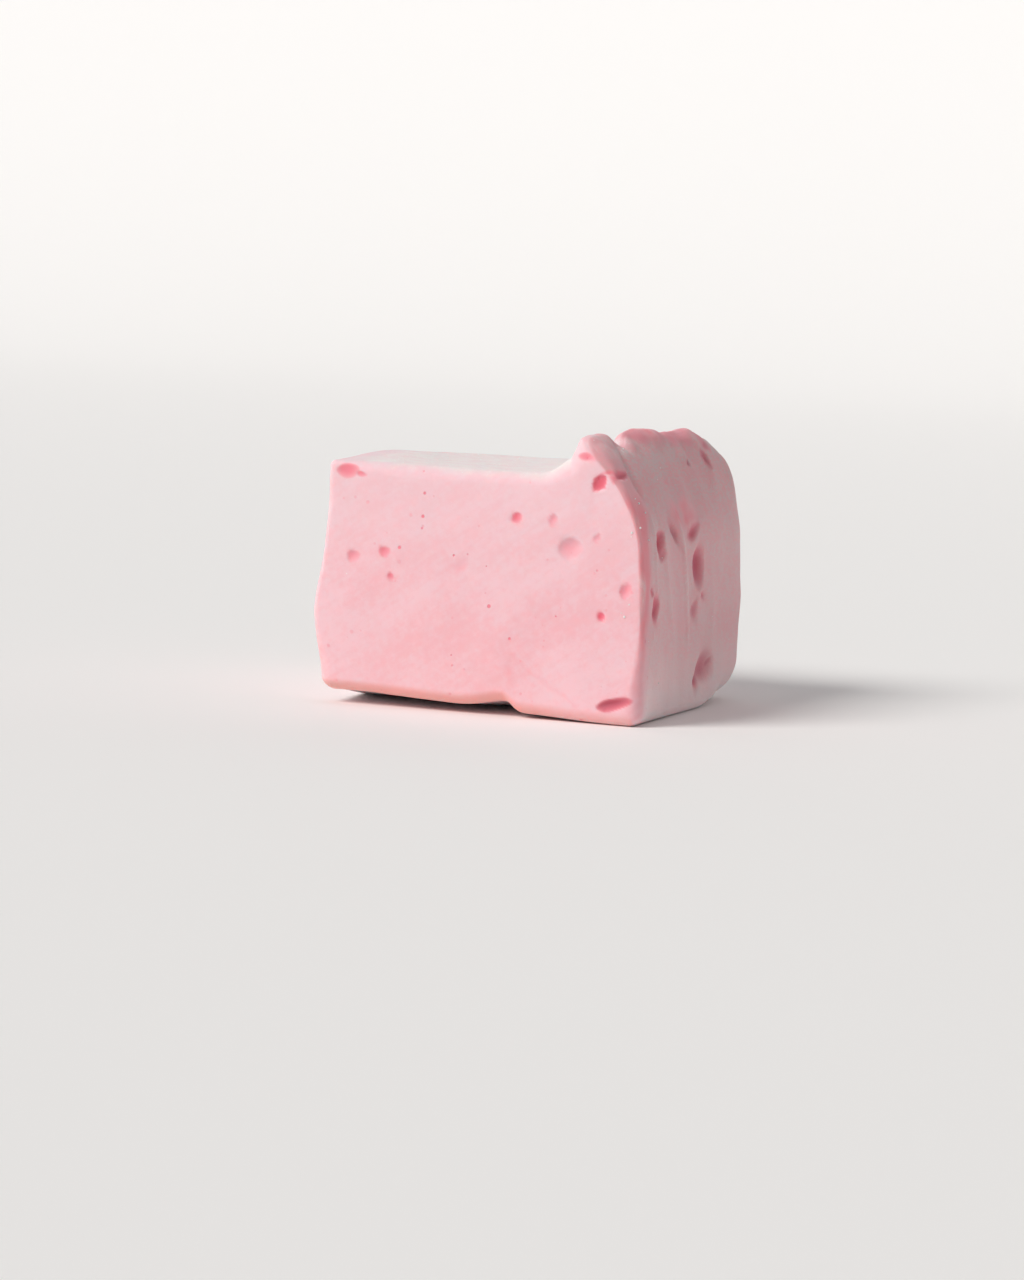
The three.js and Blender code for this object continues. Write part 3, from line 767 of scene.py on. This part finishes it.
foam = {
    "pale": (0.91, 0.625, 0.672),
    "pink": (0.90, 0.535, 0.58),
    "bare": (0.90, 0.31, 0.35),
    # painted glow of warm bounce light under the rim of the base
    "paintedGlow": (1.0, 0.46, 0.42),
    # the bare foam's pink in the pits, made redder and brighter as painted scattered light
    "hollow": (0.98, 0.21, 0.275),
    # painted shade in the pits and on the crown
    "dark": (0.60, 0.15, 0.20),
    "dusted": (0.91, 0.70, 0.74),
    "pore": (0.90, 0.30, 0.36),
    "skinPink": (0.85, 0.465, 0.495),
    "skinGrey": (0.815, 0.525, 0.54),
    "duskPink": (0.785, 0.398, 0.425),
    "duskGrey": (0.70, 0.485, 0.493),
    # painted bounce light on the skin near the base
    "skinPaintedBounce": (1.0, 0.71, 0.72),
    "skinRose": (0.84, 0.36, 0.40),
    "powder": (0.91, 0.785, 0.775),
    "crumb": (0.96, 0.90, 0.885),
    "cells": 760.0,           # scale of the cells that hold one pore each
    "scatterScale": 0.0005, "scatterRadius": (1.0, 0.42, 0.38),
    "specular": 0.16, "bumpStrength": 0.55, "bumpDistance": 0.00007,
}

foamNoise = {                 # scale, detail, roughness, length along x, y and z, turn about y
    "drift": (190.0, 3.0, 0.5, (2.4, 2.4, 1.0), -0.6),
    "mottle": (1500.0, 3.0, 0.6),
    "drag": (1500.0, 3.0, 0.55, (7.0, 7.0, 1.0), -0.6),
    "patches": (260.0, 4.0, 0.55, (1.0, 2.0, 1.0), 0.0),
    "grain": (3600.0, 3.0, 0.65, (1.0, 2.5, 1.0), 0.0),
    "blotches": (1300.0, 3.0, 0.6),
    "winding": (1500.0, 2.0, 0.5, (1.0, 1.7, 1.0), 0.0),
    "dabs": (420.0, 4.0, 0.6),
    "crumbs": (3000.0, 2.0, 0.5),
    "foamGrain": (2400.0, 4.0, 0.6),
    "wrinkles": (900.0, 3.0, 0.55, (1.0, 1.0, 6.0), 0.0),
}

foamRange = {                 # from, to, and the results at both where they aren't 0 and 1
    "tone": (0.28, 0.75),
    "patch": (0.28, 0.74),
    "veins": (0.05, 0.0),
    "crumbs": (0.60, 0.72),
    "dabs": (0.34, 0.60, 0.62, 1.0),          # the powder was dabbed off in places
    "poreSize": (0.42, 1.0, 0.06, 0.19), "poreEdge": (-0.01, 0.07), "poreShade": (0.0, 1.0, 0.25, 1.0),
    # the last of these: the height below which the skin gets painted bounce light
    "dustedHeight": (0.010, 0.027, 0.0, 0.45), "duskHeight": (0.015, 0.027), "paintedBounceHeight": (0.009, 0.0),
    "skinRagged": (0.0, 0.4), "skin": (0.12, 0.8), "powderRagged": (0.0, 0.3), "powder": (0.05, 0.85),
    "grainOnDust": (0.0, 0.5, 0.35, 1.0), "wrinklesOnSkin": (0.1, 0.5),
    "dragOnCuts": (0.3, 0.0, 0.0, 0.7),
    "roughness": (0.0, 1.0, 0.72, 0.9),
}

foamShare = {                 # how strongly each thing counts in what it is added to
    "mottle": 0.65, "drag": 0.45, "veins": 0.05, "grain": 1.7, "blotches": 0.75,
    "patchesRagged": 0.35, "grainRagged": 0.25, "mottleDabs": 0.6, "crumbs": 0.55,
    "veinRelief": 0.3, "powderRelief": 1.1, "poreRelief": -2.0,
}


def foamMaterial():
    material, tree, shader = newMaterial("marshmallowFoam")
    where = objectPlace(tree)

    def mask(name):
        return addNode(tree, "ShaderNodeAttribute", {}, attribute_name=name).outputs["Fac"]

    def noise(name):
        scale, detail, roughness, *drawn = foamNoise[name]
        vector = where
        if drawn:
            inputs = {"Vector": where, "Scale": drawn[0], "Rotation": (0.0, drawn[1], 0.0)}
            vector = addNode(tree, "ShaderNodeMapping", inputs, vector_type="TEXTURE").outputs["Vector"]
        return noiseNode(tree, vector, scale, detail, roughness)

    def times(first, second):
        return mathNode(tree, "MULTIPLY", first, second)

    def weighed(value, name):
        return times(value, foamShare[name])

    def centred(value, name):            # (value - 0.5) * share
        return weighed(mathNode(tree, "SUBTRACT", value, 0.5), name)

    def between(value, name):
        return rangeNode(tree, value, *foamRange[name])

    def blend(share, first, second):     # a colour is a node's output or a name in the foam dictionary
        return mixColour(tree, share, foam.get(first, first), foam.get(second, second))

    def added(*values):
        total = values[0]
        for value in values[1:]:
            total = mathNode(tree, "ADD", total, value)
        return total

    skinShare, powder, hollow, dark, bare, paintedGlow = (
        mask(name) for name in ("skin", "powder", "hollow", "dark", "bare", "paintedGlow"))
    rise = addNode(tree, "ShaderNodeSeparateXYZ", {"Vector": where}).outputs["Z"]

    # cut foam: slow drift between paler and pinker, fine mottling, and streaks along the knife's way
    mottle, drag = noise("mottle"), noise("drag")
    tone = added(noise("drift"), centred(mottle, "mottle"), centred(drag, "drag"))
    colour = blend(between(tone, "tone"), "pale", "pink")
    colour = blend(between(rise, "dustedHeight"), colour, "dusted")
    colour = blend(bare, colour, "bare")
    # painted glow of bounce light under the rim of the base
    colour = blend(paintedGlow, colour, "paintedGlow")

    # pores: spheres in space that the surface cuts, only where the cell's draw allows one, and
    # some of them faint
    cells = addNode(tree, "ShaderNodeTexVoronoi", {"Scale": foam["cells"], "Vector": where})
    draw = addNode(tree, "ShaderNodeSeparateColor", {"Color": cells.outputs["Color"]})
    radius = between(draw.outputs[0], "poreSize")
    poreEdge = mathNode(tree, "SUBTRACT", radius, cells.outputs["Distance"])
    pore = times(between(poreEdge, "poreEdge"), between(draw.outputs[1], "poreShade"))
    colour = blend(pore, colour, "pore")

    # skin: pinker and greyer patches with veins, under a fine grain that is drawn out along the
    # side, duller near the lip, and paler near the base with painted bounce light
    patches, grain, blotches = noise("patches"), noise("grain"), noise("blotches")
    offCentre = mathNode(tree, "SUBTRACT", noise("winding"), 0.5)
    veins = between(mathNode(tree, "ABSOLUTE", offCentre), "veins")
    patch = added(patches, weighed(veins, "veins"), centred(grain, "grain"),
                  centred(blotches, "blotches"))
    patch = between(patch, "patch")
    skin = blend(patch, "skinPink", "skinGrey")
    dusk = blend(patch, "duskPink", "duskGrey")
    skin = blend(between(rise, "duskHeight"), skin, dusk)
    # painted bounce light, paler near the base
    skin = blend(between(rise, "paintedBounceHeight"), skin, "skinPaintedBounce")
    skin = blend(bare, skin, "skinRose")
    ragged = added(centred(patches, "patchesRagged"), centred(grain, "grainRagged"))
    skinCover = added(skinShare, times(ragged, between(skinShare, "skinRagged")))
    colour = blend(between(skinCover, "skin"), colour, skin)

    # loose powder on the top: dabbed patches where the foam shows through, and pale crumbs
    dabs = added(noise("dabs"), centred(mottle, "mottleDabs"))
    crumbs = between(noise("crumbs"), "crumbs")
    cover = added(powder, times(ragged, between(powder, "powderRagged")))
    colour = blend(times(between(cover, "powder"), between(dabs, "dabs")), colour, "powder")
    colour = blend(times(crumbs, weighed(cover, "crumbs")), colour, "crumb")
    # pits: pink that is partly painted scattered light, then painted shade in the pits and on the crown
    colour = blend(hollow, colour, "hollow")
    colour = blend(dark, colour, "dark")

    # fine relief: foam grain everywhere, coarser where powder lies, streaks on the cuts, wrinkles
    # down the skin and sunken pores
    dusty = mathNode(tree, "MAXIMUM", powder, skinShare)
    height = added(
        times(noise("foamGrain"), between(dusty, "grainOnDust")),
        times(added(noise("wrinkles"), blotches), between(skinShare, "wrinklesOnSkin")),
        times(drag, between(dusty, "dragOnCuts")),
        times(veins, weighed(dusty, "veinRelief")),
        times(added(dabs, crumbs), weighed(powder, "powderRelief")),
        weighed(pore, "poreRelief"))
    inputs = {"Strength": foam["bumpStrength"], "Distance": foam["bumpDistance"], "Height": height}
    bump = addNode(tree, "ShaderNodeBump", inputs)
    setInputs(tree, shader, {
        "Base Color": colour, "Roughness": between(dusty, "roughness"), "Normal": bump.outputs["Normal"],
        "Subsurface Weight": 1.0, "Subsurface Radius": foam["scatterRadius"],
        "Subsurface Scale": foam["scatterScale"], "Specular IOR Level": foam["specular"]})
    return material


grains = {
    "count": 80, "small": 0.035, "large": 0.085, "seed": 41,
    "sizePower": 3,           # how much rarer the large ones are
    "standOut": 0.3,          # how far the middle stands out, in radii
    "uneven": (0.75, 1.2),    # least and most distance of a corner, in radii
    "leastTurn": -0.2, "leastHeight": 1.5, "stray": 0.02,     # where they lie
    "light": (0.97, 0.94, 0.93), "shaded": (0.93, 0.87, 0.86), "roughness": 0.85,
    "speckle": (5200.0, 2.0, 0.5),                      # scale, detail, roughness
    "clumps": ((16.7, -18.2, 20.7, 0.14), (17.4, -17.7, 20.8, 0.14), (16.7, -18.2, 19.9, 0.07),
               (16.4, -18.2, 11.7, 0.15), (16.7, -18.2, 13.0, 0.09), (15.9, -18.2, 11.9, 0.07),
               (16.5, -15.5, 23.3, 0.13), (16.8, -14.6, 22.5, 0.11), (16.2, -16.0, 23.9, 0.08),
               (17.7, -15.7, 19.5, 0.11)),          # x, y, z, radius
}


def grainMaterial():
    material, tree, shader = newMaterial("starchGrain")
    speckle = noiseNode(tree, objectPlace(tree), *grains["speckle"])
    colour = mixColour(tree, speckle, grains["light"], grains["shaded"])
    setInputs(tree, shader, {"Base Color": colour, "Roughness": grains["roughness"]})
    return material


# a lumpy ball: an icosahedron's corners at seeded radii
def grainShape(rng):
    g = (1.0 + math.sqrt(5.0)) / 2.0
    corners = np.array([(-1, g, 0), (1, g, 0), (-1, -g, 0), (1, -g, 0), (0, -1, g), (0, 1, g),
                        (0, -1, -g), (0, 1, -g), (g, 0, -1), (g, 0, 1), (-g, 0, -1), (-g, 0, 1)])
    faces = np.array([(0, 11, 5), (0, 5, 1), (0, 1, 7), (0, 7, 10), (0, 10, 11), (1, 5, 9), (5, 11, 4),
                      (11, 10, 2), (10, 7, 6), (7, 1, 8), (3, 9, 4), (3, 4, 2), (3, 2, 6), (3, 6, 8),
                      (3, 8, 9), (4, 9, 5), (2, 4, 11), (6, 2, 10), (8, 6, 7), (9, 8, 1)])
    return unit(corners) * rng.uniform(*grains["uneven"], (12, 1)), faces


def buildGrains(points, quads, dusty):
    rng = np.random.default_rng(grains["seed"])
    normals = pointNormals(points, quads)
    allowed = (normals[:, 2] > grains["leastTurn"]) & (points[:, 2] > grains["leastHeight"])
    weight = np.where(allowed, dusty ** 2 + grains["stray"], 0.0)
    chosen = list(rng.choice(len(points), grains["count"], replace=False, p=weight / weight.sum()))
    draws = rng.random(grains["count"]) ** grains["sizePower"]
    sizes = list(mix(grains["small"], grains["large"], draws))
    for x, y, z, size in grains["clumps"]:
        chosen.append(np.argmin(np.linalg.norm(points - [x, y, z], axis=1)))
        sizes.append(size)
    allCorners, allFaces = [], []
    for number, (index, size) in enumerate(zip(chosen, sizes)):
        corners, faces = grainShape(rng)
        allCorners.append(points[index] + (normals[index] * grains["standOut"] + corners) * size)
        allFaces.append(faces + len(corners) * number)
    piece = meshPiece("starchGrains", np.concatenate(allCorners), np.concatenate(allFaces))
    piece.data.materials.append(grainMaterial())
    return piece


print("shaping the marshmallow")
body, bodyPoints, bodyQuads, bodyDust = buildMarshmallow()
body.data.materials.append(foamMaterial())
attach(body, "root")
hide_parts("marshmallow")

print("scattering starch grains")
dustGrains = buildGrains(bodyPoints, bodyQuads, bodyDust)
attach(dustGrains, "root")


stage = {
    "floorFront": -1.2, "floorBack": 1.0, "halfWidth": 2.0, "sweepRadius": 0.9, "wallHeight": 1.8,
    "floorColour": (0.93, 0.92, 0.91), "floorRoughness": 0.9,
    "skyColour": (0.97, 0.98, 1.0), "skyStrength": 0.33,
    "keyStrength": 2.3, "keyColour": (1.0, 0.975, 0.95), "keySoftness": 28.0,
    "keyFrom": (-0.45, -0.62, 0.64),
}

lens = {
    "distance": 0.4,          # from the modelling origin
    "offset": (0.00001, -0.0012),   # from the middle of the base to that origin
    "azimuth": 20.0, "height": 0.0472,
    "aimTurn": 0.33, "pitch": 5.8, "roll": 2.2,
    "focal": 102.4, "sensor": 36.0,
}


# floor and back wall in one sheet: a profile of a straight run, a quarter circle and a wall
def buildFloor():
    turn = np.linspace(-math.pi / 2.0, 0.0, 24)
    curveY = stage["floorBack"] + stage["sweepRadius"] * np.cos(turn)
    curveZ = stage["sweepRadius"] * (1.0 + np.sin(turn))
    profileY = np.concatenate([[stage["floorFront"]], curveY, [curveY[-1]]])
    profileZ = np.concatenate([[0.0], curveZ, [stage["wallHeight"]]])
    ends = np.array([-stage["halfWidth"], stage["halfWidth"]])
    sheet = np.broadcast_arrays(ends[None, :], profileY[:, None], profileZ[:, None])
    points = np.stack(sheet, axis=-1)
    number = np.arange(len(profileY) * 2).reshape(-1, 2)
    quads = np.stack([number[:-1, 0], number[:-1, 1], number[1:, 1], number[1:, 0]], axis=-1)
    piece = meshPiece("paleFloor", points.reshape(-1, 3) / mm, quads)
    material, tree, shader = newMaterial("palePaper")
    colour = (*stage["floorColour"], 1.0)
    setInputs(tree, shader, {"Base Color": colour, "Roughness": stage["floorRoughness"]})
    piece.data.materials.append(material)
    return piece


def buildLights():
    world = bpy.data.worlds.new("softRoom")
    bpy.context.scene.world = world
    world.use_nodes = True
    sky = {"Color": (*stage["skyColour"], 1.0), "Strength": stage["skyStrength"]}
    setInputs(world.node_tree, world.node_tree.nodes["Background"], sky)
    key = bpy.data.lights.new("keyLight", "SUN")
    key.angle = math.radians(stage["keySoftness"])
    key.energy = stage["keyStrength"]
    key.color = stage["keyColour"]
    lamp = bpy.data.objects.new("keyLight", key)
    lamp.location = stage["keyFrom"]
    lamp.rotation_euler = Vector(stage["keyFrom"]).to_track_quat("Z", "Y").to_euler()
    bpy.context.scene.collection.objects.link(lamp)


# camera matrix from its place, its heading and its tilts
def buildCamera():
    azimuth = math.radians(lens["azimuth"])
    heading = math.radians(lens["azimuth"] + lens["aimTurn"])
    pitch = math.radians(lens["pitch"])
    place = Vector((math.sin(azimuth), -math.cos(azimuth), 0.0)) * lens["distance"]
    place += Vector((*lens["offset"], lens["height"]))
    level = math.cos(pitch)
    ahead = Vector((-math.sin(heading) * level, math.cos(heading) * level, -math.sin(pitch)))
    right = ahead.cross(Vector((0.0, 0.0, 1.0))).normalized()
    up = right.cross(ahead)
    roll = Matrix.Rotation(math.radians(lens["roll"]), 3, "Z")
    basis = Matrix((right, up, -ahead)).transposed() @ roll
    data = bpy.data.cameras.new("studioCamera")
    data.sensor_fit = "VERTICAL"
    data.sensor_height = lens["sensor"]
    data.lens = lens["focal"]
    data.clip_start = 0.01
    camera = bpy.data.objects.new("studioCamera", data)
    camera.matrix_world = Matrix.Translation(place) @ basis.to_4x4()
    bpy.context.scene.collection.objects.link(camera)
    bpy.context.scene.camera = camera


print("floor, light and camera")
buildFloor()
buildLights()
buildCamera()
bpy.context.scene.view_settings.view_transform = "Standard"
